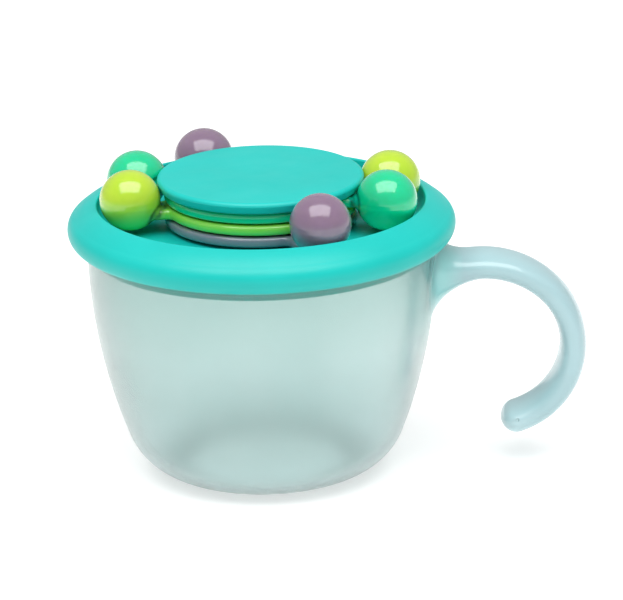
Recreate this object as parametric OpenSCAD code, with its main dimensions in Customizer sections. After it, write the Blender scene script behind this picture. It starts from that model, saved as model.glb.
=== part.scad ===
// Toddler snack container: a translucent cup with an open C handle, a soft
// finger trap with six flaps in its mouth, and a push-on lid whose shallow
// tray carries three stacked spinning rings with two beads each.
// Millimetres. Origin at the middle of the base on the floor, +Z up, handle
// along +X, the photographed side facing -Y.

/* [Cup] */
// Outer radius at the mouth
cup_r = 41.6; // [41.2:0.1:41.9]
// Height of the mouth edge above the floor
cup_h = 59; // [58.8:0.1:59]
// Wall thickness
cup_wall = 1.6; // [1.4:0.1:1.8]
// Radius of the flat base
base_flat_r = 18.9; // [17:0.1:21]
// Radius of the round bottom corner
base_corner_r = 15.2; // [13:0.1:17]
// Height at which the side curve ends and the wall stands upright
side_upright_z = 56; // [50:0.5:58]

/* [Handle] */
// Height of the handle's middle line where it leaves the cup
handle_z = 48.65; // [47.6:0.05:49]
// Rise of the first straight stretch, in degrees
handle_rise = 7.3; // [5:0.1:8.5]
// Length of the straight stretch outside the cup wall
handle_straight = 7.9; // [6.5:0.1:10]
// Radius of the upper bend
handle_upper_r = 22.7; // [21:0.1:24.5]
// Turn of the upper bend, in degrees
handle_upper_turn = 51.9; // [45:0.1:60]
// Radius of the lower bend
handle_lower_r = 19.4; // [17:0.1:20.5]
// Turn of the lower bend, in degrees
handle_lower_turn = 118; // [90:0.5:122]
// Thickness of the handle, across its bend
handle_thick = 6.3; // [5:0.1:7]
// Width of the handle, along Y
handle_width = 14.2; // [11:0.1:17]
// Length of the rounded tip
handle_tip = 3.9; // [3:0.1:6]

/* [Finger trap] */
// Thickness of the soft sheet
trap_sheet = 1.2; // [1:0.1:1.4]
// Height of the sheet's underside
trap_z = 56.8; // [56.6:0.1:57]
// Distance from the cup's axis to each flap's bending line
flap_hinge_r = 28.2; // [26:0.1:29]
// Slit width at the middle of the trap
slit_inner = 0.8; // [0.5:0.1:1.2]
// Slit width at the bending lines
slit_outer = 2.2; // [1.4:0.1:2.6]
// Radius of the round hole that ends each slit
slit_end_r = 1.5; // [1.2:0.1:2]
// Depth of the skirt inside the cup's mouth
trap_skirt = 4.4; // [3:0.1:6]

/* [Lid] */
// Greatest radius of the lid's rim
lid_r = 46.2; // [45.9:0.1:47]
// Height of the tray's floor
tray_z = 61.1; // [61:0.1:61.3]
// Inner radius of the tray's wall
tray_r = 39; // [38.8:0.1:39.2]
// Height of the rim's top
lid_top = 66.9; // [66.4:0.1:67.4]
// Height of the rim's lower edge
lid_bottom = 57.2; // [57:0.1:57.3]
// Thickness of the tray's floor and walls
lid_wall = 1.5; // [1.3:0.1:1.6]

/* [Spinning rings and beads] */
// Outer radius of the three rings
ring_r = 23; // [21:0.1:23.6]
// Thickness of each ring
ring_thick = 2.5; // [2:0.1:2.6]
// Height from one ring to the next
ring_pitch = 2.9; // [2.8:0.01:2.95]
// Height of the lowest ring's underside
ring_z = 61.8; // [61.8:0.05:61.9]
// Half width of the tab that carries a bead
tab_half = 4.2; // [3:0.1:5]
// Radius of each bead
bead_r = 7.25; // [6.5:0.05:7.3]
// Wall thickness of a bead's two shells
bead_wall = 1.4; // [1.2:0.1:1.8]
// Distance from the cup's axis to each bead's centre
bead_orbit = 31.4; // [31.2:0.1:31.5]
// Height of every bead's centre
bead_z = 69.1; // [69:0.05:69.3]
// Rest angle of the mint ring, from the handle
mint_angle = -19; // [-21:0.1:-18.5]
// Rest angle of the lime ring, from the handle
lime_angle = 10.8; // [10:0.1:12]
// Rest angle of the purple ring, from the handle
purple_angle = -63.7; // [-70:0.1:-60]

/* [Hub and cap] */
// Outer radius of the hub that the rings turn on
hub_r = 11; // [9:0.5:13]
// Radial running clearance of the rings on the hub
hub_fit = 0.06; // [0.03:0.01:0.1]
// Greatest radius of the cap disc
cap_r = 24.6; // [23.5:0.1:24.7]
// Height of the cap disc's underside
cap_z = 70.3; // [70.25:0.05:70.4]
// Thickness of the cap disc
cap_thick = 2.9; // [2:0.1:3.2]

/* [Hidden] */

$fn = 72;
overlap = 1;                    // how far cutting shapes run past a face
arc_steps = 6;                  // steps in a small round edge

// Derived: the long side curve, tangent to the corner and to the upright wall
side_curve_r = (pow(cup_r - base_flat_r, 2) + pow(side_upright_z - base_corner_r, 2) - pow(base_corner_r, 2))
    / 2 / (cup_r - base_flat_r - base_corner_r);
side_cx = cup_r - side_curve_r;
join_angle = atan2(base_corner_r - side_upright_z, base_flat_r - side_cx);
mouth_round = 0.5;

// Derived: the trap's rim round the mouth
seat_gap = 0.1;                 // trap on the mouth edge
soft_gap = 0.3;                 // soft skirt to the hard wall, lid to trap
skirt_wall = 1.4;
skirt_r = cup_r - cup_wall - soft_gap;
lip_z = cup_h + seat_gap;
lip_thick = 1.2;
lip_round = 0.5;
hook_in_r = cup_r + soft_gap;
hook_out_r = hook_in_r + 1;
hook_z = cup_h - 1.1;
trap_top = trap_z + trap_sheet;
root_r = trap_sheet / 2;        // round edge of a flap on its bending line
root_gap = 0.08;
flap_turn = 60;                 // six flaps
slit_run = 0.3;                 // how far a slit's end hole stands inside the opening's corner
slit_end_at = flap_hinge_r / cos(flap_turn / 2) - slit_run;
flap_tip_r = 1.6;

// Derived: the lid's shell
tray_corner = 4;                // inside corner of the tray
rim_round = 0.5;                // round inner edge of the rim
side_round = 3.7;               // round outer side of the rim
side_cut = -66;                 // angle at which the lower edge ends the round side
side_in_cut = -60;              // the same on the inside
lip_land = 1;                   // height of the guiding band at the lower edge
hollow_cut = 4;                 // degrees below its full radius where the tray's outside meets the hollow
slope_dx = tray_r + rim_round - lid_r + side_round;
slope_dz = lid_top - rim_round - lid_bottom - side_round;
slope_angle = atan2(slope_dz, slope_dx) - acos((side_round - rim_round) / norm([slope_dx, slope_dz]));
lip_in_r = hook_out_r + soft_gap;
socket_r = hub_r - 1.8;         // hub bore, tray spigot and cap plug
socket_wall = 1.5;
spigot_h = 3;
plug_h = 4;
collar_r = hub_r + 3;           // bearing collars round the bores
collar_h = 0.3;
edge_round = 1;                 // round edges of rings and cap
cap_base_round = 0.9;
cap_lower_r = cap_r - 0.5;

// Derived: the bead tabs
tab_fillet = 1.6;
tab_edge = 0.4;                 // bevel on the tab's long edges
tab_start = ring_r - 4;
tab_end = bead_orbit - bead_wall;
fillet_bite = 0.1;              // the fillets' circles cross the ring's edge a little
fillet_orbit = ring_r + tab_fillet - fillet_bite;
fillet_x = sqrt(pow(fillet_orbit, 2) - pow(tab_half + tab_fillet, 2));
tab_root_half = (tab_half + tab_fillet) * ring_r / fillet_orbit;

// Derived: the handle's path and section
handle_in_r = cup_r - cup_wall / 2;   // its root ends inside the wall
root_under = 8.2;               // fillet below the root, down the wall
root_under_reach = 11.7;        // the same fillet, out along the handle
root_over = 6.3;
root_over_reach = 9.4;
root_side = 6.5;                // fillets at the root's sides
root_crowding = 1.6;            // brings the stations closer together near the wall
root_steps = 10;
upper_steps = 7;
lower_steps = 15;
tip_steps = 5;
tip_sweep = 88;                 // degrees of the tip's quarter ellipse
section_steps = 28;
section_power = 2 / 2.5;        // a superellipse, flatter than an ellipse

// Points on an arc, angles in degrees
function arc(cx, cy, r, from, to, n = arc_steps) =
    [for (i = [0 : n]) let (a = from + (to - from) * i / n) [cx + r * cos(a), cy + r * sin(a)]];

// Outer radius of the cup's side at height z
function side_r(z) =
    z > side_upright_z ? cup_r : side_cx + sqrt(pow(side_curve_r, 2) - pow(z - side_upright_z, 2));

// Signed power, for the superellipse
function bulge(v) = sign(v) * pow(abs(v), section_power);

// What a fillet of depth r and length reach still adds at distance d from the wall
function fillet(r, reach, d) = d >= reach ? 0 : r * (1 - sqrt(1 - pow(1 - max(d, 0) / reach, 2)));

// The handle's straight stretch: [x, z, heading, distance from the wall, tip scale]
function handle_root() =
    [for (i = [0 : root_steps])
        let (s = pow(i / root_steps, root_crowding) * (handle_straight + cup_wall / 2), d = s - cup_wall / 2)
        [handle_in_r + s * cos(handle_rise), handle_z + d * sin(handle_rise), handle_rise, d, 1]];

// One bend of the handle, starting from the station before it
function handle_bend(start, r, turn, n) =
    let (cx = start[0] + r * sin(start[2]), cz = start[1] - r * cos(start[2]))
    [for (i = [1 : n])
        let (a = start[2] - turn * i / n)
        [cx - r * sin(a), cz + r * cos(a), a, start[3] + r * (start[2] - a) * PI / 180, 1]];

// The rounded tip, a quarter ellipse past the end of the path
function handle_end(start) =
    [for (i = [1 : tip_steps])
        let (t = tip_sweep * i / tip_steps)
        [start[0] + handle_tip * sin(t) * cos(start[2]), start[1] + handle_tip * sin(t) * sin(start[2]),
         start[2], start[3], cos(t)]];

// One ring of points across the handle; its root stands upright and follows the round cup wall
function handle_section(st) =
    [for (k = [0 : section_steps - 1])
        let (a = 360 * k / section_steps,
             over = handle_thick / 2 + fillet(root_over, root_over_reach, st[3]),
             under = handle_thick / 2 + fillet(root_under, root_under_reach, st[3]),
             side = handle_width / 2 + fillet(root_side, root_side, st[3]),
             up = bulge(sin(a)) * (sin(a) > 0 ? over : under) * st[4],
             y = bulge(cos(a)) * side * st[4],
             hug = max(0, 1 - max(st[3], 0) / root_under_reach),
             lean = st[2] * (1 - hug),
             z = st[1] + up * cos(lean),
             sag = hug * (handle_in_r - sqrt(pow(side_r(z) - cup_wall / 2, 2) - y * y)))
        [st[0] - up * sin(lean) - sag, y, z]];

// Closed skin over rings of equal length, as triangles
function skin_faces(rings, n) = concat(
    [for (j = [0 : rings - 2], k = [0 : n - 1])
        [j * n + k, j * n + (k + 1) % n, (j + 1) * n + k]],
    [for (j = [0 : rings - 2], k = [0 : n - 1])
        [j * n + (k + 1) % n, (j + 1) * n + (k + 1) % n, (j + 1) * n + k]],
    // the root's end in upright strips, so that it keeps to the round wall
    [for (k = [0 : n / 2 - 2]) [k, n - k - 1, k + 1]],
    [for (k = [1 : n / 2 - 1]) [k, n - k, n - k - 1]],
    [for (k = [1 : n - 2]) [(rings - 1) * n, (rings - 1) * n + k, (rings - 1) * n + k + 1]]);

module cup() {
    color("#c5e2e4")
    rotate_extrude()
    polygon(concat(
        [[0, 0]],
        arc(base_flat_r, base_corner_r, base_corner_r, -90, join_angle),
        arc(side_cx, side_upright_z, side_curve_r, join_angle, 0, 12),
        arc(cup_r - mouth_round, cup_h - mouth_round, mouth_round, 0, 90, 3),
        arc(cup_r - cup_wall + mouth_round, cup_h - mouth_round, mouth_round, 90, 180, 3),
        arc(side_cx, side_upright_z, side_curve_r - cup_wall, 0, join_angle, 12),
        arc(base_flat_r, base_corner_r, base_corner_r - cup_wall, join_angle, -90),
        [[0, cup_wall]]));
}

module handle() {
    root = handle_root();
    upper = handle_bend(root[root_steps], handle_upper_r, handle_upper_turn, upper_steps);
    lower = handle_bend(upper[upper_steps - 1], handle_lower_r, handle_lower_turn, lower_steps);
    stations = concat(root, upper, lower, handle_end(lower[lower_steps - 1]));
    color("#b5dade")
    polyhedron(
        points = [for (st = stations) each handle_section(st)],
        faces = skin_faces(len(stations), section_steps));
}

module trap_rim() {
    color("#1fb5ae")
    difference() {
        rotate_extrude()
        polygon(concat(
            [[flap_hinge_r - overlap, trap_z], [skirt_r - skirt_wall, trap_z],
             [skirt_r - skirt_wall, cup_h - trap_skirt]],
            [[skirt_r, cup_h - trap_skirt], [skirt_r, lip_z], [hook_in_r, lip_z], [hook_in_r, hook_z],
             [hook_out_r, hook_z]],
            arc(hook_out_r - lip_round, lip_z + lip_thick - lip_round, lip_round, 0, 90, 3),
            arc(skirt_r - lip_round, lip_z + lip_thick - lip_round, lip_round, 90, 135, 2),
            [[skirt_r - skirt_wall - lip_thick, trap_top], [flap_hinge_r - overlap, trap_top]]));
        // six-sided opening: one straight bending line for each flap
        translate([0, 0, trap_z - overlap])
        cylinder(r = (flap_hinge_r + root_r + root_gap) / cos(flap_turn / 2), h = trap_sheet + 2 * overlap, $fn = 6);
        for (i = [0 : 5])
        rotate([0, 0, flap_turn * i])
        translate([slit_end_at, 0, trap_z - overlap])
        cylinder(r = slit_end_r, h = trap_sheet + 2 * overlap, $fn = 32);
    }
}

// One flap of the trap, lying along +X before it is turned to its place
module flap(index) {
    half_root = flap_hinge_r * tan(flap_turn / 2) - slit_outer / 2 / cos(flap_turn / 2);
    half_tip = flap_tip_r * tan(flap_turn / 2) - slit_inner / 2 / cos(flap_turn / 2);
    color("#21bdb5")
    rotate([0, 0, flap_turn * (index - 0.5)]) {
        translate([0, 0, trap_z])
        linear_extrude(trap_sheet)
        polygon([[flap_tip_r, -half_tip], [flap_hinge_r, -half_root], [flap_hinge_r, half_root],
                 [flap_tip_r, half_tip]]);
        translate([flap_hinge_r, half_root, trap_z + root_r])
        rotate([90, 0, 0])
        cylinder(r = root_r, h = 2 * half_root, $fn = 24);
    }
}

module lid_tray() {
    color("#24cfc5")
    rotate_extrude()
    polygon(concat(
        [[0, tray_z - lid_wall]],
        arc(tray_r - tray_corner, tray_z + tray_corner, tray_corner + lid_wall, -90, -hollow_cut),
        // hollow under the rim
        arc(lid_r - side_round, lid_bottom + side_round, side_round - lid_wall, slope_angle, side_in_cut, 6),
        [[lip_in_r, lid_bottom + lip_land], [lip_in_r, lid_bottom]],
        // round outer side, slope and inner edge of the rim
        arc(lid_r - side_round, lid_bottom + side_round, side_round, side_cut, slope_angle, 12),
        arc(tray_r + rim_round, lid_top - rim_round, rim_round, slope_angle, 180, 6),
        arc(tray_r - tray_corner, tray_z + tray_corner, tray_corner, 0, -90),
        // spigot that the hub sits on
        [[socket_r, tray_z], [socket_r, tray_z + spigot_h], [socket_r - socket_wall, tray_z + spigot_h],
         [socket_r - socket_wall, tray_z], [0, tray_z]]));
}

module hub() {
    color("#1cb8b0")
    translate([0, 0, tray_z])
    difference() {
        union() {
            cylinder(r = hub_r, h = cap_z - tray_z);
            cylinder(r = collar_r, h = collar_h);
        }
        translate([0, 0, -overlap])
        cylinder(r = socket_r, h = cap_z - tray_z + 2 * overlap);
    }
}

module cap_disc() {
    color("#35d6cb")
    rotate_extrude()
    polygon(concat(
        [[0, cap_z], [socket_r - socket_wall, cap_z], [socket_r - socket_wall, cap_z - plug_h],
         [socket_r, cap_z - plug_h], [socket_r, cap_z]],
        arc(cap_lower_r - cap_base_round, cap_z + cap_base_round, cap_base_round, -90, 0),
        arc(cap_r - edge_round, cap_z + cap_thick - edge_round, edge_round, 0, 90),
        [[0, cap_z + cap_thick]]));
}

// Outline of the bead tab at one side of a ring, drawn in by inset at its long edges
module tab_outline(inset) {
    difference() {
        translate([tab_start, -tab_root_half])
        square([tab_end - tab_start, 2 * tab_root_half]);
        for (side = [-1, 1]) {
            translate([fillet_x, side * (tab_half + tab_fillet)])
            circle(r = tab_fillet + inset);
            translate([fillet_x, side > 0 ? tab_half - inset : -tab_half - 2 * tab_fillet])
            square([tab_end, 2 * tab_fillet + inset]);
        }
    }
}

// Solid tab with stepped long edges, its underside at z
module tab(z) {
    translate([0, 0, z])
    linear_extrude(ring_thick)
    tab_outline(tab_edge);
    translate([0, 0, z + tab_edge])
    linear_extrude(ring_thick - 2 * tab_edge)
    tab_outline(0);
}

// Solid half of a bead: the lower half for side -1, the upper one for side 1
module half_bead(side) {
    reach = bead_r + overlap;
    translate([bead_orbit, 0, bead_z])
    intersection() {
        sphere(r = bead_r);
        translate([-reach, -reach, side > 0 ? 0 : -reach])
        cube([2 * reach, 2 * reach, reach]);
    }
}

// The hollow inside a bead
module bead_hollow() {
    translate([bead_orbit, 0, bead_z])
    sphere(r = bead_r - bead_wall);
}

// One ring with its two tabs and the lower shells of its two beads
module ring(level, angle) {
    z = ring_z + level * ring_pitch;
    rotate([0, 0, angle])
    difference() {
        union() {
            rotate_extrude()
            polygon(concat(
                [[hub_r + hub_fit, z - collar_h], [collar_r, z - collar_h], [collar_r, z]],
                arc(ring_r - edge_round, z + edge_round, edge_round, -90, 0, 4),
                arc(ring_r - edge_round, z + ring_thick - edge_round, edge_round, 0, 90, 4),
                [[hub_r + hub_fit, z + ring_thick]]));
            for (turn = [0, 180])
            rotate([0, 0, turn]) {
                tab(z);
                half_bead(-1);
            }
        }
        for (turn = [0, 180])
        rotate([0, 0, turn])
        bead_hollow();
    }
}

// Upper shell of one bead, welded on; the highest ring's tab enters it
module bead_top(level, angle) {
    z = ring_z + level * ring_pitch;
    rotate([0, 0, angle])
    difference() {
        half_bead(1);
        bead_hollow();
        if (z + ring_thick > bead_z)
        tab(z);
    }
}

module mint_ring() { color("#3fd49a") ring(2, mint_angle); }
module mint_bead_top_1() { color("#62e2ab") bead_top(2, mint_angle); }
module mint_bead_top_2() { color("#62e2ab") bead_top(2, mint_angle + 180); }
module lime_ring() { color("#a5d845") ring(1, lime_angle); }
module lime_bead_top_1() { color("#cfe75a") bead_top(1, lime_angle); }
module lime_bead_top_2() { color("#cfe75a") bead_top(1, lime_angle + 180); }
module purple_ring() { color("#8a7392") ring(0, purple_angle); }
module purple_bead_top_1() { color("#ab7fae") bead_top(0, purple_angle); }
module purple_bead_top_2() { color("#ab7fae") bead_top(0, purple_angle + 180); }

cup();
handle();
trap_rim();
flap(1);  // finger_flap_1
flap(2);  // finger_flap_2
flap(3);  // finger_flap_3
flap(4);  // finger_flap_4
flap(5);  // finger_flap_5
flap(6);  // finger_flap_6
lid_tray();
hub();
cap_disc();
mint_ring();
mint_bead_top_1();
mint_bead_top_2();
lime_ring();
lime_bead_top_1();
lime_bead_top_2();
purple_ring();
purple_bead_top_1();
purple_bead_top_2();
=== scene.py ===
import math
import bmesh
import bpy
import numpy as np
from mathutils import Matrix


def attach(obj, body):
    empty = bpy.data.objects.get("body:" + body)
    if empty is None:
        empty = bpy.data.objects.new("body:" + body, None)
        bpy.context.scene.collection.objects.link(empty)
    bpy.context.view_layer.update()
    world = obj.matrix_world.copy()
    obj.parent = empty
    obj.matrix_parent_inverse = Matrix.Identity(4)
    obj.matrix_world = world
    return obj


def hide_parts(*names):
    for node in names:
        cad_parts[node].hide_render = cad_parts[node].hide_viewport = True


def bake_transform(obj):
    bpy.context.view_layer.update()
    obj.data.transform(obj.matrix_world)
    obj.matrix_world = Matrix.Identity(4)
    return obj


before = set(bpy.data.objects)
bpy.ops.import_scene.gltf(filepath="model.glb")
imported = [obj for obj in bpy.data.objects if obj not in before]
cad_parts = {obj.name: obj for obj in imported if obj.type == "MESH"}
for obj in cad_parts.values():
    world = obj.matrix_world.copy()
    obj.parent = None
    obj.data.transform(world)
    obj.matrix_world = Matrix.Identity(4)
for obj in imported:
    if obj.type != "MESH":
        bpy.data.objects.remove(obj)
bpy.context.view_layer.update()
print("frame loaded")

mm = 0.001
touching = 2e-7  # metres; points closer than this are one point
collection = bpy.context.scene.collection


# small tools

def srgb(hexText):  # sRGB hex to linear light
    parts = [int(hexText[i:i + 2], 16) / 255 for i in (1, 3, 5)]
    return tuple(c / 12.92 if c <= 0.04045 else ((c + 0.055) / 1.055) ** 2.4 for c in parts) + (1.0,)


def arc(cx, cz, radius, start, end, count):  # centre + radius * (cos a, sin a), from start to end degrees
    a = np.radians(np.linspace(start, end, count))
    return np.stack([cx + radius * np.cos(a), cz + radius * np.sin(a)], 1)


def rounded(corners, radii, count):
    # each corner p becomes the curve (1-t)^2 a + 2t(1-t) p + t^2 b, a and b one radius away on its sides
    pts = np.asarray(corners, float)
    radii = np.asarray(radii, float)
    toBefore, toAfter = np.roll(pts, 1, 0) - pts, np.roll(pts, -1, 0) - pts
    lenBefore = np.linalg.norm(toBefore, axis=1)
    lenAfter = np.linalg.norm(toAfter, axis=1)
    # short sides keep a straight bit
    reach = np.minimum(radii, 0.48 * np.minimum(lenBefore, lenAfter))[:, None]
    a = pts + toBefore / lenBefore[:, None] * reach
    b = pts + toAfter / lenAfter[:, None] * reach
    t = np.linspace(0, 1, count)[None, :, None]
    curve = (1 - t) ** 2 * a[:, None] + 2 * t * (1 - t) * pts[:, None] + t ** 2 * b[:, None]
    return curve.reshape(-1, 2)


def gridFaces(rows, cols, wrapRows=False):
    # quads between neighbouring rows; the columns of a row close into a loop
    r, c = np.meshgrid(np.arange(rows if wrapRows else rows - 1), np.arange(cols), indexing="ij")
    r2, c2 = (r + 1) % rows, (c + 1) % cols
    return np.stack([r * cols + c, r * cols + c2, r2 * cols + c2, r2 * cols + c], -1).reshape(-1, 4)


def meshObject(name, points, faces, sharp, merge):  # points in mm, sharp in degrees
    mesh = bpy.data.meshes.new(name)
    mesh.from_pydata((points * mm).tolist(), [], faces)
    bm = bmesh.new()
    bm.from_mesh(mesh)
    if merge:
        bmesh.ops.remove_doubles(bm, verts=bm.verts, dist=touching)
    bmesh.ops.recalc_face_normals(bm, faces=bm.faces)
    bm.to_mesh(mesh)
    bm.free()
    mesh.shade_smooth()
    mesh.set_sharp_from_angle(angle=math.radians(sharp))
    obj = bpy.data.objects.new(name, mesh)
    collection.objects.link(obj)
    return obj


def makeObject(name, parts, sharp):
    # parts: (points, faces) pairs; touching points merge, so a row at r = 0 becomes one pole
    points = [np.asarray(part[0], float).reshape(-1, 3) for part in parts]
    starts = np.cumsum([0] + [len(p) for p in points])
    faces = np.concatenate([np.asarray(part[1]) + start for part, start in zip(parts, starts)])
    return meshObject(name, np.concatenate(points), faces.tolist(), sharp, merge=True)


def lathe(profile, steps):  # (r, z) becomes (r cos a, r sin a, z) for each step of the turn
    prof = np.asarray(profile, float)
    a = np.linspace(0, 2 * math.pi, steps, endpoint=False)
    pts = np.stack([np.outer(prof[:, 0], np.cos(a)), np.outer(prof[:, 0], np.sin(a)),
                    np.repeat(prof[:, 1:], steps, 1)], 2)
    return pts, gridFaces(len(prof), steps)


def turned(points, degrees):  # about Z
    c, s = math.cos(math.radians(degrees)), math.sin(math.radians(degrees))
    return np.asarray(points, float) @ np.array([[c, s, 0], [-s, c, 0], [0, 0, 1]])


# material tools

midNoise, wideNoise = (0.35, 0.65), (0.3, 0.7)  # spans of a noise's values


def addNode(tree, kind, settings=None, links=None):
    # settings go to the node's fields or its sockets, links from other sockets to its own
    node = tree.nodes.new(kind)
    for key, value in (settings or {}).items():
        if isinstance(key, str) and hasattr(node, key) and key not in node.inputs:
            setattr(node, key, value)
        else:
            node.inputs[key].default_value = value
    for key, socket in (links or {}).items():
        tree.links.new(socket, node.inputs[key])
    return node


def newMaterial(name):
    material = bpy.data.materials.new(name)
    material.use_nodes = True
    tree = material.node_tree
    tree.nodes.clear()
    shader = addNode(tree, "ShaderNodeBsdfPrincipled")
    addNode(tree, "ShaderNodeOutputMaterial", links={"Surface": shader.outputs[0]})
    place = addNode(tree, "ShaderNodeTexCoord").outputs["Object"]
    return material, tree, shader, place


def blotches(tree, place, sizeMm, detail, stretch=(1, 1, 1)):  # sizeMm: width of one blotch
    size = {"Scale": tuple(s / (sizeMm * mm) for s in stretch)}
    scaled = addNode(tree, "ShaderNodeMapping", size, {"Vector": place})
    return addNode(tree, "ShaderNodeTexNoise", {"Scale": 1.0, "Detail": detail, "Roughness": 0.55},
                   {"Vector": scaled.outputs[0]}).outputs[0]


def placeInMm(tree, place):  # the same point counted in mm
    scale = {"operation": "MULTIPLY", 1: (1 / mm,) * 3}
    return addNode(tree, "ShaderNodeVectorMath", scale, {0: place}).outputs[0]


def farFrom(tree, inMm, centre, scale=(1, 1, 1)):  # length of (point - centre) * scale
    away = addNode(tree, "ShaderNodeVectorMath", {"operation": "SUBTRACT", 1: centre}, {0: inMm}).outputs[0]
    scaled = addNode(tree, "ShaderNodeVectorMath", {"operation": "MULTIPLY", 1: scale}, {0: away})
    length = addNode(tree, "ShaderNodeVectorMath", {"operation": "LENGTH"}, {0: scaled.outputs[0]})
    return length.outputs["Value"]


def zone(tree, spans, join="MINIMUM", amount=1.0):
    # spans: (value, (where it is 0, where it reaches the amount)); the smallest or largest of them counts
    masks = [addNode(tree, "ShaderNodeMapRange", {"From Min": none, "From Max": full, "To Max": amount},
                     {"Value": value}).outputs[0] for value, (none, full) in spans]
    while len(masks) > 1:
        joined = addNode(tree, "ShaderNodeMath", {"operation": join}, {0: masks[0], 1: masks[1]})
        masks[:2] = [joined.outputs[0]]
    return masks[0]


def tint(tree, base, colour, mask):  # lays a colour over the base where the mask says; hex text or sockets
    node = addNode(tree, "ShaderNodeMix", {"data_type": "RGBA"}, {0: mask})
    for index, value in ((6, base), (7, colour)):
        if isinstance(value, str):
            node.inputs[index].default_value = srgb(value)
        else:
            tree.links.new(value, node.inputs[index])
    return node.outputs[2]


def patchyRoughness(tree, shader, patches, look):  # rougher and smoother patches, roughSwing either way
    rough = addNode(tree, "ShaderNodeMapRange", {
        "From Min": wideNoise[0], "From Max": wideNoise[1], "To Min": look["rough"] - look["roughSwing"],
        "To Max": look["rough"] + look["roughSwing"]}, {"Value": patches})
    tree.links.new(rough.outputs[0], shader.inputs["Roughness"])


def skinRelief(tree, shader, layers):  # layers: (height, depth in mm), the first one under the others
    normal = None
    for height, depthMm in layers:
        links = {"Height": height}
        if normal:
            links["Normal"] = normal
        depth = {"Strength": 1.0, "Distance": depthMm * mm}
        normal = addNode(tree, "ShaderNodeBump", depth, links).outputs[0]
    tree.links.new(normal, shader.inputs["Normal"])


def moulded(name, look):
    # hard moulded plastic: pigment drifts slightly with the flow, the skin has a fine orange peel over long
    # shallow waves from the mould, and handling has dulled it in soft patches
    material, tree, shader, place = newMaterial(name)
    drift = blotches(tree, place, look["driftMm"], 3.0)
    colour = tint(tree, look["colour"], look["deeper"], zone(tree, [(drift, midNoise)]))
    if "lower" in look:  # painted reflection and shade: the lower shells are painted in the teal light the tray round them throws back, and darker for the shade there
        height = addNode(tree, "ShaderNodeSeparateXYZ", links={0: placeInMm(tree, place)}).outputs[2]
        colour = tint(tree, colour, look["lower"], zone(tree, [(height, look["lowerZ"])]))
    tree.links.new(colour, shader.inputs["Base Color"])
    patchyRoughness(tree, shader, blotches(tree, place, look["patchMm"], 4.0), look)
    waves = blotches(tree, place, look["waveMm"], 1.0)
    peel = blotches(tree, place, look["peelMm"], 1.0)
    skinRelief(tree, shader, [(waves, look["waveDeep"]), (peel, look["peelDeep"])])
    shader.inputs["IOR"].default_value = look["ior"]
    shader.inputs["Specular IOR Level"].default_value = look["level"]
    shader.inputs["Coat Weight"].default_value = look["coat"]
    shader.inputs["Coat Roughness"].default_value = look["coatRough"]
    shader.inputs["Subsurface Weight"].default_value = look["soft"]
    shader.inputs["Subsurface Radius"].default_value = look["softReach"]
    shader.inputs["Subsurface Scale"].default_value = look["softMm"] * mm
    return material


# cup and handle, one cloudy moulding; sizes in mm, turns in degrees

cup = {"radius": 41.6, "height": 59.0, "wall": 1.6, "flat": 18.9, "corner": 15.2, "upright": 56.0,
       "mouthRound": 0.5, "mouthFrom": 8.0, "windowTurn": 26.0, "windowLow": 33.0, "windowHigh": 58.35,
       "turnStep": 2.0, "patchRings": 7, "patchCrowd": 1.4, "cornerRows": 18, "sideRows": 16,
       "windowRows": 12, "mouthRows": 6, "innerRows": 26, "innerCornerRows": 14}
handle = {"z": 48.65, "rise": 7.3, "straight": 7.9, "upperR": 22.7, "upperTurn": 51.9, "lowerR": 19.4,
          "lowerTurn": 118.0, "thick": 6.3, "width": 14.2, "tip": 3.9, "under": 8.2, "underReach": 11.7,
          "over": 6.3, "overReach": 9.4, "side": 6.5, "power": 0.8, "straightRows": 21, "crowd": 1.9,
          "upperRows": 30, "lowerRows": 60, "tipRows": 12}

# the long side curve: tangent to the corner's circle and upright at its upper end
sideRun, sideRise = cup["radius"] - cup["flat"], cup["upright"] - cup["corner"]
curveR = (sideRun ** 2 + sideRise ** 2 - cup["corner"] ** 2) / 2 / (sideRun - cup["corner"])
curveX, curveZ = cup["radius"] - curveR, cup["upright"]
joinAngle = math.degrees(math.atan2(cup["corner"] - curveZ, cup["flat"] - curveX))


def wallRadius(z):
    # outer radius of the cup's side: curveX + sqrt(curveR^2 - (z - curveZ)^2), upright above curveZ
    z = np.asarray(z, float)
    curved = curveX + np.sqrt(np.maximum(curveR ** 2 - (z - curveZ) ** 2, 1))
    return np.where(z > curveZ, cup["radius"], curved)


def fillet(depth, reach, d):
    # what a root fillet still adds at distance d: depth (1 - sqrt(1 - (1 - d/reach)^2))
    left = 1 - np.maximum(d, 0) / reach
    return np.where(d >= reach, 0, depth * (1 - np.sqrt(np.maximum(0, 1 - left ** 2))))


def power(v):
    return np.sign(v) * np.abs(v) ** handle["power"]


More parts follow.
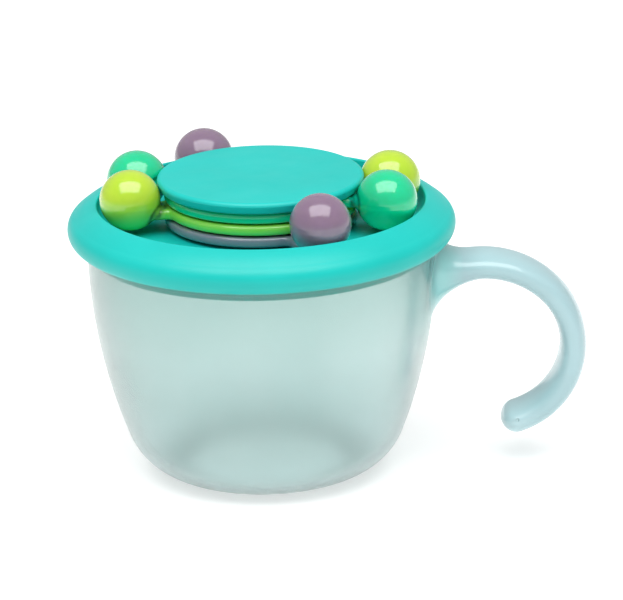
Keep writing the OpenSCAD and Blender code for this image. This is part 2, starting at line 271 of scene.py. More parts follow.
def handleStations():
    # the bar's middle line as x, z, heading, distance from the wall, tip scale: a straight rise, two arcs
    # with x = cx - R sin(heading) and z = cz + R cos(heading), and a quarter ellipse whose section shrinks
    # with cos t
    h = handle
    rise = math.radians(h["rise"])
    d = h["straight"] * np.linspace(0, 1, h["straightRows"] + 1)[1:] ** h["crowd"]
    rows = [np.stack([cup["radius"] + d * math.cos(rise), h["z"] + d * math.sin(rise),
                      np.full_like(d, h["rise"]), d, np.ones_like(d)], 1)]
    for bend in ("upper", "lower"):
        radius, turn, count = h[bend + "R"], h[bend + "Turn"], h[bend + "Rows"]
        x, z, a0, d0, _ = rows[-1][-1]
        cx, cz = x + radius * math.sin(math.radians(a0)), z - radius * math.cos(math.radians(a0))
        a = a0 - turn * np.arange(1, count + 1) / count
        rows.append(np.stack([cx - radius * np.sin(np.radians(a)), cz + radius * np.cos(np.radians(a)), a,
                              d0 + radius * np.radians(a0 - a), np.ones_like(a)], 1))
    x, z, a0, d0, _ = rows[-1][-1]
    t = np.radians(90 * np.arange(1, h["tipRows"] + 1) / h["tipRows"])
    rows.append(np.stack([x + h["tip"] * np.sin(t) * math.cos(math.radians(a0)),
                          z + h["tip"] * np.sin(t) * math.sin(math.radians(a0)),
                          np.full_like(t, a0), np.full_like(t, d0), np.maximum(np.cos(t), 0)], 1))
    return np.concatenate(rows)


def sectionAt(stations, a):
    # across the bar: side * cos(a)^power, up * sin(a)^power; near the wall the points lean and sag with it
    h = handle
    x, z, heading, d, scale = (stations[:, k:k + 1] for k in range(5))
    over = h["thick"] / 2 + fillet(h["over"], h["overReach"], d)
    under = h["thick"] / 2 + fillet(h["under"], h["underReach"], d)
    side = h["width"] / 2 + fillet(h["side"], h["side"], d)
    up = power(np.sin(a))[None] * np.where(np.sin(a)[None] > 0, over, under) * scale
    y = power(np.cos(a))[None] * side * scale
    hug = np.clip(1 - d / h["underReach"], 0, 1)
    lean = np.radians(heading * (1 - hug))
    height = z + up * np.cos(lean)
    sag = hug * (cup["radius"] - np.sqrt(wallRadius(height) ** 2 - y * y))
    return np.stack([x - up * np.sin(lean) - sag, y, height], 2)


def cupProfile():
    # (r, z) from the base's middle up the outside to the window, on to the mouth, and down the inside
    c = cup
    windowAngle = math.degrees(math.asin((c["windowLow"] - curveZ) / curveR))
    outer = np.concatenate([
        [[0, 0]], [[c["flat"] * 0.5, 0]],
        arc(c["flat"], c["corner"], c["corner"], -90, joinAngle, c["cornerRows"]),
        arc(curveX, curveZ, curveR, joinAngle, windowAngle, c["sideRows"])[1:]])
    zRows = np.linspace(c["windowLow"], c["windowHigh"], c["windowRows"] + 1)
    upper = np.stack([wallRadius(zRows), zRows], 1)[1:]
    mouthZ = c["height"] - c["mouthRound"]
    inner = np.concatenate([
        arc(c["radius"] - c["mouthRound"], mouthZ, c["mouthRound"], c["mouthFrom"], 90, c["mouthRows"]),
        arc(c["radius"] - c["wall"] + c["mouthRound"], mouthZ, c["mouthRound"], 90, 180, c["mouthRows"]),
        arc(curveX, curveZ, curveR - c["wall"], 0, joinAngle, c["innerRows"]),
        arc(c["flat"], c["corner"], c["corner"] - c["wall"], joinAngle, -90, c["innerCornerRows"])[1:],
        [[0, c["wall"]]]])
    return np.concatenate([outer, upper, inner]), len(outer) - 1, zRows


def rootAngles(edgeTurn, edgeZ):
    # the root loop is the bar's section at the wall; each edge point takes the angle in its direction
    whole = 2 * math.pi
    dense = np.linspace(0, whole, 721)[:-1]
    side = handle["width"] / 2 + handle["side"]
    up = np.where(np.sin(dense) > 0, handle["over"], handle["under"]) + handle["thick"] / 2
    seen = np.unwrap(np.arctan2(power(np.sin(dense)) * up, power(np.cos(dense)) * side))
    want = np.arctan2(edgeZ - handle["z"], edgeTurn * cup["radius"]) % whole
    return np.interp(want, np.append(seen, seen[0] + whole), np.append(dense, whole)) % whole


def cupAndHandle():
    # the cup's profile is turned about Z, with a window left open; rings on the wall lead from the window's
    # edge to the root loop, edge (1 - t) + root t, and the bar's sections go on from there
    c = cup
    prof, low, zRows = cupProfile()
    cols = int(360 / c["turnStep"])
    turn = np.radians(np.arange(cols) * c["turnStep"])
    grid = np.stack([np.outer(prof[:, 0], np.cos(turn)), np.outer(prof[:, 0], np.sin(turn)),
                     np.repeat(prof[:, 1:], cols, 1)], 2)
    faces = gridFaces(len(prof), cols).reshape(len(prof) - 1, cols, 4)
    high = low + c["windowRows"]
    half = int(c["windowTurn"] / c["turnStep"])
    keep = np.ones(faces.shape[:2], bool)
    keep[low:high, :half] = keep[low:high, cols - half:] = False
    # the window's edge, as (turn, z), counter-clockwise from the side of +Y
    edgeSteps = np.concatenate([np.full(c["windowRows"], half), np.arange(half, -half, -1),
                                np.full(c["windowRows"], -half), np.arange(-half, half)])
    edgeTurn = edgeSteps * math.radians(c["turnStep"])
    edgeZ = np.concatenate([zRows[:-1], np.full(2 * half, zRows[-1]),
                            zRows[:0:-1], np.full(2 * half, zRows[0])])
    a = rootAngles(edgeTurn, edgeZ)
    rootUp = np.where(np.sin(a) > 0, handle["over"], handle["under"]) + handle["thick"] / 2
    rootZ = handle["z"] + power(np.sin(a)) * rootUp
    rootTurn = np.arcsin(power(np.cos(a)) * (handle["width"] / 2 + handle["side"]) / wallRadius(rootZ))
    # rings crowd towards the root
    t = (1 - (1 - np.linspace(0, 1, c["patchRings"])) ** c["patchCrowd"])[:, None]
    patchTurn = edgeTurn[None] * (1 - t) + rootTurn[None] * t
    patchZ = edgeZ[None] * (1 - t) + rootZ[None] * t
    patchR = wallRadius(patchZ)
    patch = np.stack([patchR * np.cos(patchTurn), patchR * np.sin(patchTurn), patchZ], 2)
    skin = np.concatenate([patch, sectionAt(handleStations(), a)])
    parts = [(grid, faces[keep]), (skin, gridFaces(len(skin), skin.shape[1]))]
    return makeObject("cup_and_handle", parts, sharp=60)


# places and spans in mm; a span says where its colour is nothing and where it is full, and the edges are
# in shares of the root's ellipsoid
cloudyLook = {
    "colour": "#D8E8E6", "cloud": "#D3E5E3", "cloudMm": 14.0,
    # painted light: the wall is painted lighter towards the handle's side, against the shadow the handle
    # casts
    "paintedLightNearHandle": "#E4F3F2", "paintedLightNearHandleX": (12.0, 38.0), "low": "#E9FBFB", "lowZ": (26.0, 4.0),
    # painted shade: the wall under the lid is painted darker and teal, for the lid's shadow and the teal
    # light the trap throws on it
    # painted shadow: the base plate is painted darker, where the floor under the cup lies in shade
    "plate": "#BDD1CF", "paintedShadowPlateZ": (3.5, 1.6), "paintedShadeAndBounceUnderLid": "#C8DEDA", "paintedShadeAndBounceUnderLidZ": (38.0, 58.0),
    # painted shade: the thin wall round the handle's root is painted a darker teal, for the shaded corner
    # there and the teal trap it faces
    "paintedTealShadeByRoot": "#98DAD5", "paintedTealShadeByRootEdge": (1.8, 0.9), "paintedTealShadeByRootAmount": 0.8,
    "thick": "#B3D4D9", "tip": "#C8E6EB", "tipX": (66.0, 59.0), "tipZ": (24.0, 18.0),
    # painted light: the handle's solid root is painted teal and lighter, for the teal light it gathers from
    # the lid and trap and against the lid's shadow
    "root": "#A0DFDE", "paintedTealLightRootX": (48.0, 43.0), "rootAt": (42.0, 0.0, 47.5), "rootMm": (12.0, 13.8, 11.5),
    "rootEdge": (1.1, 0.7), "handleX": (43.0, 47.0),
    "through": 0.92, "throughThick": 0.25, "rough": 0.25, "roughThick": 0.3, "coat": 0.1, "coatThick": 0.45,
    "coatRough": 0.06, "ior": 1.45, "waveMm": 6.0, "waveDeep": 0.02,
    "gate": (60.25, -6.85, 12.05), "gateMm": (0.2, 0.5), "gateDeep": 0.3}


def cloudyPlastic(look):
    # hazy clear polypropylene, moulded: the thin wall lets things behind it show softened, so the trap's
    # skirt is a teal band under the lid; the solid handle is milkier and bluer, and its root is painted
    # teal light gathered from the lid; painted shade and teal bounce darken the wall under the lid, painted
    # shadow its base, painted teal shade the corner by the root, and painted light brightens it towards the
    # handle;
    # faint drawn-out flow clouds, a smooth gloss skin, the gate's small dimple near the handle's tip
    material, tree, shader, place = newMaterial("hazy clear polypropylene")
    inMm = placeInMm(tree, place)
    x, _, z = addNode(tree, "ShaderNodeSeparateXYZ", links={0: inMm}).outputs
    rootFar = farFrom(tree, inMm, look["rootAt"], tuple(1 / size for size in look["rootMm"]))
    clouds = blotches(tree, place, look["cloudMm"], 3.0, stretch=(1, 1, 0.35))
    thin = tint(tree, look["colour"], look["cloud"], zone(tree, [(clouds, midNoise)]))
    for name, value, span in (("paintedLightNearHandle", x, "paintedLightNearHandleX"), ("low", z, "lowZ"), ("plate", z, "paintedShadowPlateZ"),
                              ("paintedShadeAndBounceUnderLid", z, "paintedShadeAndBounceUnderLidZ")):
        thin = tint(tree, thin, look[name], zone(tree, [(value, look[span])]))
    # painted shade: darker teal on the thin wall round the root
    paintedTealShadeByRoot = zone(tree, [(rootFar, look["paintedTealShadeByRootEdge"])], amount=look["paintedTealShadeByRootAmount"])
    thin = tint(tree, thin, look["paintedTealShadeByRoot"], paintedTealShadeByRoot)
    solid = tint(tree, look["thick"], look["tip"], zone(tree, [(x, look["tipX"]), (z, look["tipZ"])]))
    # painted light: teal and lighter at the handle's root
    solid = tint(tree, solid, look["root"], zone(tree, [(x, look["paintedTealLightRootX"])]))
    inHandle = zone(tree, [(x, look["handleX"]), (rootFar, look["rootEdge"])], join="MAXIMUM")
    tree.links.new(tint(tree, thin, solid, inHandle), shader.inputs["Base Color"])
    for socket, name in (("Transmission Weight", "through"), ("Roughness", "rough"),
                         ("Coat Weight", "coat")):
        amount = addNode(tree, "ShaderNodeMapRange", {"To Min": look[name], "To Max": look[name + "Thick"]},
                         {"Value": inHandle})
        tree.links.new(amount.outputs[0], shader.inputs[socket])
    waves = blotches(tree, place, look["waveMm"], 1.0, stretch=(1, 1, 0.3))
    gate = zone(tree, [(farFrom(tree, inMm, look["gate"]), look["gateMm"])])
    skinRelief(tree, shader, [(waves, look["waveDeep"]), (gate, look["gateDeep"])])
    shader.inputs["IOR"].default_value = look["ior"]
    shader.inputs["Coat Roughness"].default_value = look["coatRough"]
    return material


cupObject = cupAndHandle()
cupObject.data.materials.append(cloudyPlastic(cloudyLook))
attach(cupObject, "cup")
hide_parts("cup", "handle")
print("cup and handle made")


# soft trap: rim and six flaps

trap = {"sheet": 1.2, "z": 56.8, "hinge": 28.2, "slitIn": 0.8, "slitOut": 2.2, "slitEnd": 1.5,
        "holeBack": 0.3, "skirt": 4.4, "tip": 1.6, "edge": 0.45, "rimEdge": 28.88, "skirtR": 39.7,
        "skirtWall": 1.4, "lipZ": 59.1, "lipGap": 0.1, "lip": 1.2, "lipRound": 0.4, "hookIn": 41.9,
        "hookOut": 42.9, "hookDrop": 1.2, "rounds": (0.3, 0.5, 0.5, 0.12, 0.12, 0.3, 0.3, 0.6, 0.6, 1.2),
        "rimSteps": 720, "flapRows": 40, "flapSteps": 48, "firstRow": 1.2, "tuck": 0.25, "tuckFrom": 0.3,
        "tuckThin": 0.965, "tipNarrow": 0.55, "cornerBack": 0.4, "cornerLong": 1.1, "cornerIn": 0.5,
        "topSquare": 0.18, "sideSquare": 0.35, "bendOut": 1.0, "bendIn": 3.2}
trapTop = trap["z"] + trap["sheet"]
trapMiddle = trap["z"] + trap["sheet"] / 2


def trapRim():
    # a section turned about Z whose inner edge follows a hexagon, rimEdge / cos(off), and bulges out to
    # holeAt cos(aside) + sqrt(slitEnd^2 - (holeAt sin(aside))^2) round the hole that ends each slit
    t = trap
    turn = np.radians(np.linspace(0, 360, t["rimSteps"], endpoint=False))
    off = (np.degrees(turn) % 60) - 30
    hexagon = t["rimEdge"] / np.cos(np.radians(off))
    holeAt = t["hinge"] / math.cos(math.radians(30)) - t["holeBack"]
    aside = np.radians(30 - np.abs(off))
    inHole = np.maximum(t["slitEnd"] ** 2 - (holeAt * np.sin(aside)) ** 2, 0)
    edge = np.maximum(hexagon, np.where(inHole > 0, holeAt * np.cos(aside) + np.sqrt(inHole), 0))
    e = t["edge"]
    bead = arc(e, 0, e, 90, 270, 7)  # rounded inner edge, centred on the sheet
    halfSheet = t["sheet"] / 2
    bead[:, 1] = np.where(bead[:, 1] > 0, bead[:, 1] + halfSheet - e, bead[:, 1] - halfSheet + e)
    skirtIn, skirtLow = t["skirtR"] - t["skirtWall"], t["lipZ"] - t["lipGap"] - t["skirt"]
    hookLow, lipTop = t["lipZ"] - t["hookDrop"], t["lipZ"] + t["lip"]
    fixed = rounded([[skirtIn, t["z"]], [skirtIn, skirtLow], [t["skirtR"], skirtLow],
                     [t["skirtR"], t["lipZ"]], [t["hookIn"], t["lipZ"]], [t["hookIn"], hookLow],
                     [t["hookOut"], hookLow], [t["hookOut"], lipTop], [t["skirtR"] - t["lipRound"], lipTop],
                     [skirtIn - t["lip"], trapTop]], t["rounds"], 6)
    w = np.linspace(0.15, 1, 6)[:-1, None]  # rows of the sheet, from its edge to the skirt
    inner = edge[None] + e
    under, over = inner * (1 - w) + fixed[0, 0] * w, inner * (1 - w[::-1]) + fixed[-1, 0] * w[::-1]
    r = np.concatenate([edge[None] + bead[:, :1], under, np.repeat(fixed[:, :1], len(turn), 1), over])
    z = np.concatenate([np.repeat(trapMiddle + bead[:, 1:], len(turn), 1), np.full_like(under, t["z"]),
                        np.repeat(fixed[:, 1:], len(turn), 1), np.full_like(over, trapTop)])
    pts = np.stack([r * np.cos(turn), r * np.sin(turn), z], 2)
    return makeObject("trap_rim_soft", [(pts, gridFaces(len(r), len(turn), wrapRows=True))], sharp=50)


def trapFlap(index):
    # sections along x from the tip to just inside the rim's sheet: a flat bar with round edges whose half
    # width is x tan 30 less half the slit, and whose height is half the sheet times |sin a|^topSquare
    t = trap
    e = t["edge"]
    tipAngles = np.radians([0, 25, 50, 75, 90])
    x = np.concatenate([t["tip"] + e * (1 - np.cos(tipAngles)),
                        np.linspace(t["tip"] + t["firstRow"], t["rimEdge"] + t["tuck"], t["flapRows"])])
    grow = np.concatenate([np.sin(np.maximum(tipAngles, np.radians(6))), np.ones(t["flapRows"])])
    along = np.clip((x - t["tip"]) / (t["hinge"] - t["tip"]), 0, 1)
    slit = t["slitIn"] + (t["slitOut"] - t["slitIn"]) * along
    half = x * math.tan(math.radians(30)) - slit / 2 / math.cos(math.radians(30))
    half = half * np.where(grow < 1, t["tipNarrow"] + (1 - t["tipNarrow"]) * grow, 1)
    past = np.clip((x - t["hinge"] + t["cornerBack"]) / t["cornerLong"], 0, 1)
    half = half - t["cornerIn"] * past ** 2  # rounds the corners at the slits' ends
    thick = (t["sheet"] / 2) * grow * np.where(x > t["hinge"] + t["tuckFrom"], t["tuckThin"], 1)
    a = np.radians(np.linspace(0, 360, t["flapSteps"], endpoint=False))
    flat = np.abs(np.sin(a)) ** t["topSquare"] * np.sign(np.sin(a))
    edgeIn = e * (1 - np.abs(np.cos(a)) ** t["sideSquare"])
    across = np.cos(a)[None] * (half[:, None] - e) + np.sign(np.cos(a))[None] * (e - edgeIn)[None]
    pts = np.stack([np.repeat(x[:, None], len(a), 1), across, trapMiddle + flat[None] * thick[:, None]], 2)
    tipPoint = np.array([[x[0], 0, trapMiddle]])
    cols = len(a)
    fan = np.stack([np.arange(cols), (np.arange(cols) + 1) % cols, np.full(cols, len(x) * cols)], 1)
    last = (len(x) - 1) * cols
    faces = gridFaces(len(x), cols).tolist() + fan.tolist() + [list(range(last, last + cols))]
    return turned(np.concatenate([pts.reshape(-1, 3), tipPoint]), 60 * index - 30), faces


def makeFlap(index, material):
    pts, faces = trapFlap(index)
    obj = meshObject(f"trap_flap_{index}", pts, faces, sharp=50, merge=False)
    obj.data.materials.append(material)
    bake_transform(obj)
    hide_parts(f"finger_flap_{index}")


softLook = {"colour": "#14C6BC", "flexed": "#2CCFC6", "flexMm": 7.0, "flexAmount": 0.6,
            # painted light: the skirt's colour is painted brighter and stronger, against the lid's shadow
            # where it shows through the cup's wall
            "skirt": "#06EAE0", "skirtR": (37.0, 38.5), "paintedLightSkirtZ": (59.2, 58.5), "rough": 0.55,
            "roughSwing": 0.06, "broadMm": 2.5, "broadDeep": 0.03, "grainMm": 0.28, "grainDeep": 0.012,
            "ior": 1.42, "sheen": 0.15, "soft": 0.25, "softReach": (0.2, 1.0, 0.9), "softMm": 1.2}


def softElastomer(look):
    # soft teal elastomer, moulded: dry satin skin that scatters light a little, a fine leathery mould
    # grain, slightly paler where fingers flex it, and the thin skirt is painted brighter, painted light
    # against the lid's shadow where it shows through the cup's wall
    material, tree, shader, place = newMaterial("soft teal elastomer")
    flex = blotches(tree, place, look["flexMm"], 4.0)
    flexed = zone(tree, [(flex, (0.4, 0.7))], amount=look["flexAmount"])
    colour = tint(tree, look["colour"], look["flexed"], flexed)
    inMm = placeInMm(tree, place)
    height = addNode(tree, "ShaderNodeSeparateXYZ", links={0: inMm}).outputs[2]
    outward = farFrom(tree, inMm, (0, 0, 0), scale=(1, 1, 0))  # from the middle line
    # painted light: brighter colour on the skirt
    paintedLightSkirt = zone(tree, [(outward, look["skirtR"]), (height, look["paintedLightSkirtZ"])])
    tree.links.new(tint(tree, colour, look["skirt"], paintedLightSkirt), shader.inputs["Base Color"])
    patchyRoughness(tree, shader, flex, look)
    grain = blotches(tree, place, look["grainMm"], 2.0)
    broad = blotches(tree, place, look["broadMm"], 2.0)
    skinRelief(tree, shader, [(broad, look["broadDeep"]), (grain, look["grainDeep"])])
    shader.inputs["IOR"].default_value = look["ior"]
    shader.inputs["Sheen Weight"].default_value = look["sheen"]
    shader.inputs["Subsurface Weight"].default_value = look["soft"]
    shader.inputs["Subsurface Radius"].default_value = look["softReach"]
    shader.inputs["Subsurface Scale"].default_value = look["softMm"] * mm
    return material


elastomer = softElastomer(softLook)
rimObject = trapRim()
rimObject.data.materials.append(elastomer)
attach(rimObject, "trap")
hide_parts("trap_rim")
for flapIndex in range(1, 7):
    makeFlap(flapIndex, elastomer)
print("soft trap made")


# lid: tray, hub and cap

lid = {"radius": 46.2, "floor": 61.1, "trayR": 39.0, "top": 66.9, "bottom": 57.2, "wall": 1.5,
       "trayCorner": 4.0, "rimRound": 0.5, "sideRound": 3.7, "slope": 59.3, "sideCut": -66.0, "lipIn": 43.2,
       "lipStep": 1.0, "lipEdge": 0.25, "lipBevel": (0.08, 0.07), "innerTo": -4.0, "innerCut": -60.0,
       "bulge": 0.26, "spigot": 9.2, "spigotH": 3.0, "spigotRound": 0.3, "steps": 240}
cap = {"radius": 24.6, "z": 70.3, "thick": 2.9, "edge": 1.0, "under": 0.9, "inset": 0.5, "crown": 0.12,
       "crownGap": 0.05, "plug": 9.2, "plugWall": 1.5, "plugH": 4.0, "plugRounds": (0.2, 0.4, 0.4, 0.2),
       "steps": 240}


def lidTray():
    # (r, z) turned about Z: up the underside, round the side, over the slope and the rim, down into the
    # tray; the slope is the straight chord pushed out by bulge * 4t(1-t)
    d = lid
    sideX, sideZ = d["radius"] - d["sideRound"], d["bottom"] + d["sideRound"]
    trayX, trayZ = d["trayR"] - d["trayCorner"], d["floor"] + d["trayCorner"]
    side = arc(sideX, sideZ, d["sideRound"], d["sideCut"], d["slope"], 30)
    rim = arc(d["trayR"] + d["rimRound"], d["top"] - d["rimRound"], d["rimRound"], d["slope"], 180, 22)
    t = np.linspace(0, 1, 16)[1:-1, None]
    normal = np.array([[math.cos(math.radians(d["slope"])), math.sin(math.radians(d["slope"]))]])
    slope = side[-1] * (1 - t) + rim[0] * t + normal * d["bulge"] * 4 * t * (1 - t)
    corner = arc(trayX, trayZ, d["trayCorner"], 0, -90, 16)
    spigotIn, spigotTop = d["spigot"] - d["wall"], d["floor"] + d["spigotH"]
    spigot = rounded([[d["spigot"], d["floor"]], [d["spigot"], spigotTop], [spigotIn, spigotTop],
                      [spigotIn, d["floor"]]], [d["spigotRound"]] * 4, 4)
    lip = [[d["lipIn"], d["bottom"] + d["lipStep"]], [d["lipIn"], d["bottom"] + d["lipEdge"]],
           [d["lipIn"] + d["lipBevel"][0], d["bottom"] + d["lipBevel"][1]]]
    under = np.concatenate([
        [[0, d["floor"] - d["wall"]]],
        arc(trayX, trayZ, d["trayCorner"] + d["wall"], -90, d["innerTo"], 14),
        arc(sideX, sideZ, d["sideRound"] - d["wall"], d["slope"], d["innerCut"], 14), lip])
    prof = np.concatenate([under, side, slope, rim, corner, spigot, [[0, d["floor"]]]])
    return makeObject("lid_tray_shell", [lathe(prof, d["steps"])], sharp=45)


def capDisc():  # (r, z) turned about Z; the top's crown is crown * (1 - (r/R)^2)
    d = cap
    top = d["z"] + d["thick"]
    r = np.linspace(0, d["radius"] - d["edge"] - d["crownGap"], 10)[1:]
    crown = np.stack([r, top + d["crown"] * (1 - (r / r[-1]) ** 2)], 1)[::-1]
    plugIn, plugLow = d["plug"] - d["plugWall"], d["z"] - d["plugH"]
    plug = rounded([[plugIn, d["z"]], [plugIn, plugLow], [d["plug"], plugLow], [d["plug"], d["z"]]],
                   d["plugRounds"], 4)
    lowX, lowZ = d["radius"] - d["inset"] - d["under"], d["z"] + d["under"]
    prof = np.concatenate([[[0, d["z"]]], plug, arc(lowX, lowZ, d["under"], -90, 0, 10),
                           arc(d["radius"] - d["edge"], top - d["edge"], d["edge"], 0, 90, 16),
                           crown, [[0, top + d["crown"]]]])
    return makeObject("cap_disc_shell", [lathe(prof, d["steps"])], sharp=45)


# teal polypropylene, moulded: even satin gloss, opaque, edges glow a little where light soaks in
tealLook = {"colour": "#0DBAB2", "deeper": "#0AB4AC", "driftMm": 30.0, "patchMm": 11.0, "rough": 0.42,
            "roughSwing": 0.05, "waveMm": 9.0, "waveDeep": 0.03, "peelMm": 0.9, "peelDeep": 0.004,
            "ior": 1.45, "level": 0.4, "coat": 0.0, "coatRough": 0.2, "soft": 0.15,
            "softReach": (0.15, 1.0, 0.9), "softMm": 1.5}
teal = moulded("satin teal polypropylene", tealLook)
trayObject = lidTray()
capObject = capDisc()
for piece, node, slotName in ((trayObject, "lid_tray", "lid_teal"), (capObject, "cap_disc", "cap_teal")):
    piece.data.materials.append(teal)
    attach(piece, "lid")
    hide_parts(node)

# the hub stays the CAD's own tube: a bearing surface, so drier and duller than the lid
hubLook = dict(tealLook, colour="#12A9A1", deeper="#0F9F97", rough=0.5)
hubMaterial = moulded("teal bearing plastic", hubLook)
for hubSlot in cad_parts["hub"].material_slots:
    hubSlot.material = hubMaterial
print("lid made")


# bead rings

beads = {"ringR": 23.0, "thick": 2.5, "pitch": 2.9, "z": 61.8, "tabHalf": 4.2, "tabFillet": 1.6,
         "tabEnd": 1.5, "tabShort": (1.6, 3.0, 3.0), "edge": 1.0, "flatIn": 0.12, "boreR": 11.06,
         "boreBevel": 0.25, "midR": 17.0, "collarR": 14.0, "collarTaper": 0.1, "collar": 0.3,
         "ballR": 7.25, "orbit": 31.4, "ballZ": 69.1, "seam": 0.05, "seamWide": 0.16, "ballRows": 61,
         "ballSteps": 112, "blend": 1.5, "blendReach": 1.1, "neckSquare": (0.5, 0.62),
         "neckIn": (0.02, 0.015), "neckKeep": 0.35, "neckSink": 0.9}


def ringOutline(endX):
    # plan of half a ring, from 90 to -90 degrees: circle, fillet, tab side, rounded end, and the same back
    b = beads
    fy = b["tabHalf"] + b["tabFillet"]
    orbit = b["ringR"] + b["tabFillet"]
    fx = math.sqrt(orbit ** 2 - fy ** 2)
    touch = math.degrees(math.asin(fy / orbit))
    straight, corner = endX - b["tabEnd"], b["tabHalf"] - b["tabEnd"]
    circle = arc(0, 0, b["ringR"], 90, touch, 60)
    filletArc = arc(fx, fy, b["tabFillet"], 180 + touch, 270, 12)[1:]
    side = np.stack([np.linspace(fx, straight, 8)[1:], np.full(7, b["tabHalf"])], 1)
    end = arc(straight, corner, b["tabEnd"], 90, 0, 7)[1:]
    tip = np.stack([np.full(6, endX), np.linspace(corner, 0, 7)[1:]], 1)
    upper = np.concatenate([circle, filletArc, side, end, tip])
    half = np.concatenate([upper, upper[-2::-1] * [1, -1]])
    return np.concatenate([half, -half[1:-1]])  # the other side is the same, turned by 180 degrees


def ringPlate(level):
    # closed rows round the ring: bore, top, edge and underside; the edge is line + outward * (e cos a - e)
    # at height e sin a, with a from 90 to -90 degrees
    b = beads
    z = b["z"] + level * b["pitch"]
    top, e = z + b["thick"], b["edge"]
    line = ringOutline(b["orbit"] - b["tabShort"][level])
    ahead = np.roll(line, -1, 0) - np.roll(line, 1, 0)
    ahead /= np.linalg.norm(ahead, axis=1)[:, None]
    outward = np.stack([-ahead[:, 1], ahead[:, 0]], 1)
    outward *= np.sign((outward * line).sum(1))[:, None]
    a = np.radians(np.linspace(90, -90, 13))
    rim = line[None] + outward[None] * (e * np.cos(a) - e)[:, None, None]
    rimZ = np.where(a > 0, top - e + e * np.sin(a), z + e + e * np.sin(a))
    rimZ[np.abs(a) < 1e-6] = z + b["thick"] / 2
    unit = line / np.linalg.norm(line, axis=1)[:, None]

    def rowAt(plan, height):
        return np.concatenate([plan, np.full((len(plan), 1), height)], 1)[None]

    flat = line + outward * (-e - b["flatIn"])
    rimPts = np.concatenate([rim, np.repeat(rimZ[:, None], len(line), 1)[..., None]], 2)
    low = z - b["collar"]
    rows = np.concatenate([
        rowAt(unit * b["boreR"], top - b["boreBevel"]), rowAt(unit * (b["boreR"] + b["boreBevel"]), top),
        rowAt(unit * b["midR"], top), rowAt(flat, top), rimPts, rowAt(flat, z), rowAt(unit * b["midR"], z),
        rowAt(unit * b["collarR"], z), rowAt(unit * (b["collarR"] - b["collarTaper"]), low),
        rowAt(unit * (b["boreR"] + b["boreBevel"]), low), rowAt(unit * b["boreR"], low + b["boreBevel"])])
    return rows, gridFaces(len(rows), rows.shape[1], wrapRows=True)


def ball():  # radius ballR, less a hairline seam * exp(-(arc / seamWide)^2) where the two shells are welded
    b = beads
    lat = np.radians(np.linspace(-90, 90, b["ballRows"]))
    radius = b["ballR"] - b["seam"] * np.exp(-(lat * b["ballR"] / b["seamWide"]) ** 2)
    prof = np.stack([np.maximum(radius * np.cos(lat), 0), b["ballZ"] + radius * np.sin(lat)], 1)
    pts, faces = lathe(prof, b["ballSteps"])
    return pts + [b["orbit"], 0, 0], faces


def neckBlend(level):
    # fillet between tab and ball: for each point of the tab's section the curve
    # (1-t)^2 P0 + 2t(1-t) I + t^2 P1, with I where its line enters the ball, P0 one blend length before it
    # and P1 one blend length round the ball
    b = beads
    zc = b["z"] + level * b["pitch"] + b["thick"] / 2 - b["ballZ"]
    a = np.radians(np.linspace(0, 360, 72, endpoint=False))
    y = np.sign(np.cos(a)) * np.abs(np.cos(a)) ** b["neckSquare"][0] * (b["tabHalf"] - b["neckIn"][0])
    z = np.sign(np.sin(a)) * np.abs(np.sin(a)) ** b["neckSquare"][1] * (b["thick"] / 2 - b["neckIn"][1])
    point = np.stack([y, z + zc], 1)
    point *= np.minimum(1, (b["ballR"] - b["neckKeep"]) / np.linalg.norm(point, axis=1))[:, None]
    depth = np.sqrt(b["ballR"] ** 2 - (point ** 2).sum(1))
    enter = np.stack([-depth, point[:, 0], point[:, 1]], 1)
    section = np.stack([y, z], 1)
    ahead = np.roll(section, -1, 0) - np.roll(section, 1, 0)
    outward = np.stack([np.zeros(len(a)), ahead[:, 1], -ahead[:, 0]], 1)
    outward /= np.linalg.norm(outward, axis=1)[:, None]
    radial = enter / b["ballR"]
    along = outward - (outward * radial).sum(1)[:, None] * radial
    along /= np.linalg.norm(along, axis=1)[:, None]
    swing = b["blend"] / b["ballR"]
    p0 = enter - [b["blend"] * b["blendReach"], 0, 0]
    p1 = b["ballR"] * (radial * math.cos(swing) + along * math.sin(swing))
    t = np.linspace(0, 1, 12)[1:-1, None, None]
    curve = (1 - t) ** 2 * p0 + 2 * t * (1 - t) * enter + t ** 2 * p1
    pts = np.concatenate([p0[None], curve, p1[None], p1[None] * b["neckSink"]])
    return pts + [b["orbit"], 0, b["ballZ"]], gridFaces(len(pts), len(a))


def beadArm(name, level, angle, material, body, ringNode):
    plate, plateFaces = ringPlate(level)
    parts = [(turned(plate.reshape(-1, 3), angle), plateFaces)]
    for turn in (0, 180):
        for pts, faces in (ball(), neckBlend(level)):
            parts.append((turned(pts.reshape(-1, 3), angle + turn), faces))
    obj = makeObject(name, parts, sharp=50)
    obj.data.materials.append(material)
    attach(obj, body)
    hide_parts(ringNode + "_ring", ringNode + "_bead_top_1", ringNode + "_bead_top_2")


# bead plastic from a polished mould: glossy, and colour soaks a few millimetres deep
beadLook = {"driftMm": 12.0, "patchMm": 6.0, "lowerZ": (71.0, 63.5), "rough": 0.2, "roughSwing": 0.03,
            "waveMm": 7.0, "waveDeep": 0.01, "peelMm": 0.7, "peelDeep": 0.002, "ior": 1.5, "level": 0.35,
            "coat": 0.8, "coatRough": 0.09, "soft": 0.7, "softReach": (1.0, 1.0, 0.6), "softMm": 3.0}
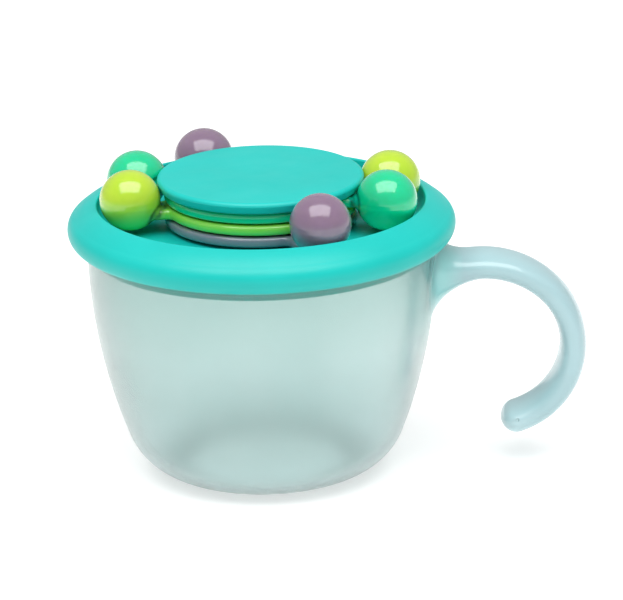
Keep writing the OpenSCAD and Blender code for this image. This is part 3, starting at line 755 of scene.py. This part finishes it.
# the fifth value of each arm is painted reflection and shade: the colour its lower shells are painted in
arms = {"mint": (2, -19.0, "#0AC28C", "#07BC86", "#00F0AE", "glossy mint bead plastic"),
        "lime": (1, 10.8, "#B4CE34", "#AACA2C", "#58E064", "glossy lime bead plastic"),
        "purple": (0, -63.7, "#866F86", "#7F687F", "#77808E", "glossy dusty purple bead plastic")}
for armName, (level, angle, colour, deeper, lower, label) in arms.items():
    armMaterial = moulded(label, dict(beadLook, colour=colour, deeper=deeper, lower=lower))
    beadArm(armName + "_ring_and_beads", level, angle, armMaterial, armName + "_arm", armName)
print("bead rings made")


# floor, light, camera; lengths in metres

studio = {"floor": "#D3D3D2", "floorDeeper": "#D1D1D1", "floorM": 6.0, "shadeMm": 300.0, "glow": 0.58,
          "world": 0.48, "boxW": 0.98, "boxH": 0.62, "boxPower": 8.2, "boxElevation": 70.0,
          "boxDistance": 0.75, "boxAim": 0.06}
view = {"target": (0.0110, 0.0, 0.0413), "distance": 1.057, "elevation": 18.4, "roll": 1.277,
        "focalPx": 4414.8, "shiftPx": (2.0, 0.1), "widthPx": 623, "sensor": 36}


def makeFloor():
    half = studio["floorM"] / 2
    mesh = bpy.data.meshes.new("floor")
    corners = [(-half, -half, 0), (half, -half, 0), (half, half, 0), (-half, half, 0)]
    mesh.from_pydata(corners, [], [(0, 1, 2, 3)])
    floor = bpy.data.objects.new("floor", mesh)
    collection.objects.link(floor)
    # matt white sweep, only the faintest unevenness
    material, tree, shader, place = newMaterial("matt white sweep")
    shade = blotches(tree, place, studio["shadeMm"], 2.0)
    tree.links.new(tint(tree, studio["floor"], studio["floorDeeper"], shade), shader.inputs["Base Color"])
    shader.inputs["Roughness"].default_value = 0.9
    shader.inputs["Specular IOR Level"].default_value = 0.2
    # lit from below as well, so it stays white far away
    shader.inputs["Emission Color"].default_value = (1, 1, 1, 1)
    shader.inputs["Emission Strength"].default_value = studio["glow"]
    floor.data.materials.append(material)


def makeLight():
    world = bpy.data.worlds.new("studio")
    bpy.context.scene.world = world
    world.use_nodes = True
    background = next(n for n in world.node_tree.nodes if n.type == "BACKGROUND")
    background.inputs["Color"].default_value = (1, 1, 1, 1)
    background.inputs["Strength"].default_value = studio["world"]
    lamp = bpy.data.lights.new("softbox", "AREA")
    lamp.shape = "RECTANGLE"
    lamp.size, lamp.size_y = studio["boxW"], studio["boxH"]
    lamp.energy = studio["boxPower"]
    obj = bpy.data.objects.new("softbox", lamp)
    collection.objects.link(obj)
    e = math.radians(studio["boxElevation"])
    d = studio["boxDistance"]
    obj.location = (0, -d * math.cos(e), studio["boxAim"] + d * math.sin(e))
    obj.rotation_euler = (math.radians(90 - studio["boxElevation"]), 0, 0)


def makeCamera():
    data = bpy.data.cameras.new("camera")
    camera = bpy.data.objects.new("camera", data)
    collection.objects.link(camera)
    e, r = math.radians(view["elevation"]), math.radians(view["roll"])
    ahead = np.array([0, math.cos(e), -math.sin(e)])
    right = np.array([1.0, 0, 0])
    up = np.cross(right, ahead)
    matrix = np.eye(4)
    matrix[:3, 0] = right * math.cos(r) - up * math.sin(r)
    matrix[:3, 1] = right * math.sin(r) + up * math.cos(r)
    matrix[:3, 2] = -ahead
    matrix[:3, 3] = np.array(view["target"]) - ahead * view["distance"]
    camera.matrix_world = Matrix(matrix.tolist())
    data.sensor_width = view["sensor"]
    data.lens = view["sensor"] * view["focalPx"] / view["widthPx"]
    data.shift_x, data.shift_y = (shift / view["widthPx"] for shift in view["shiftPx"])
    data.clip_start, data.clip_end = 0.05, 20
    bpy.context.scene.camera = camera


makeFloor()
makeLight()
makeCamera()
bpy.context.scene.view_settings.view_transform = "Standard"
print("studio made")
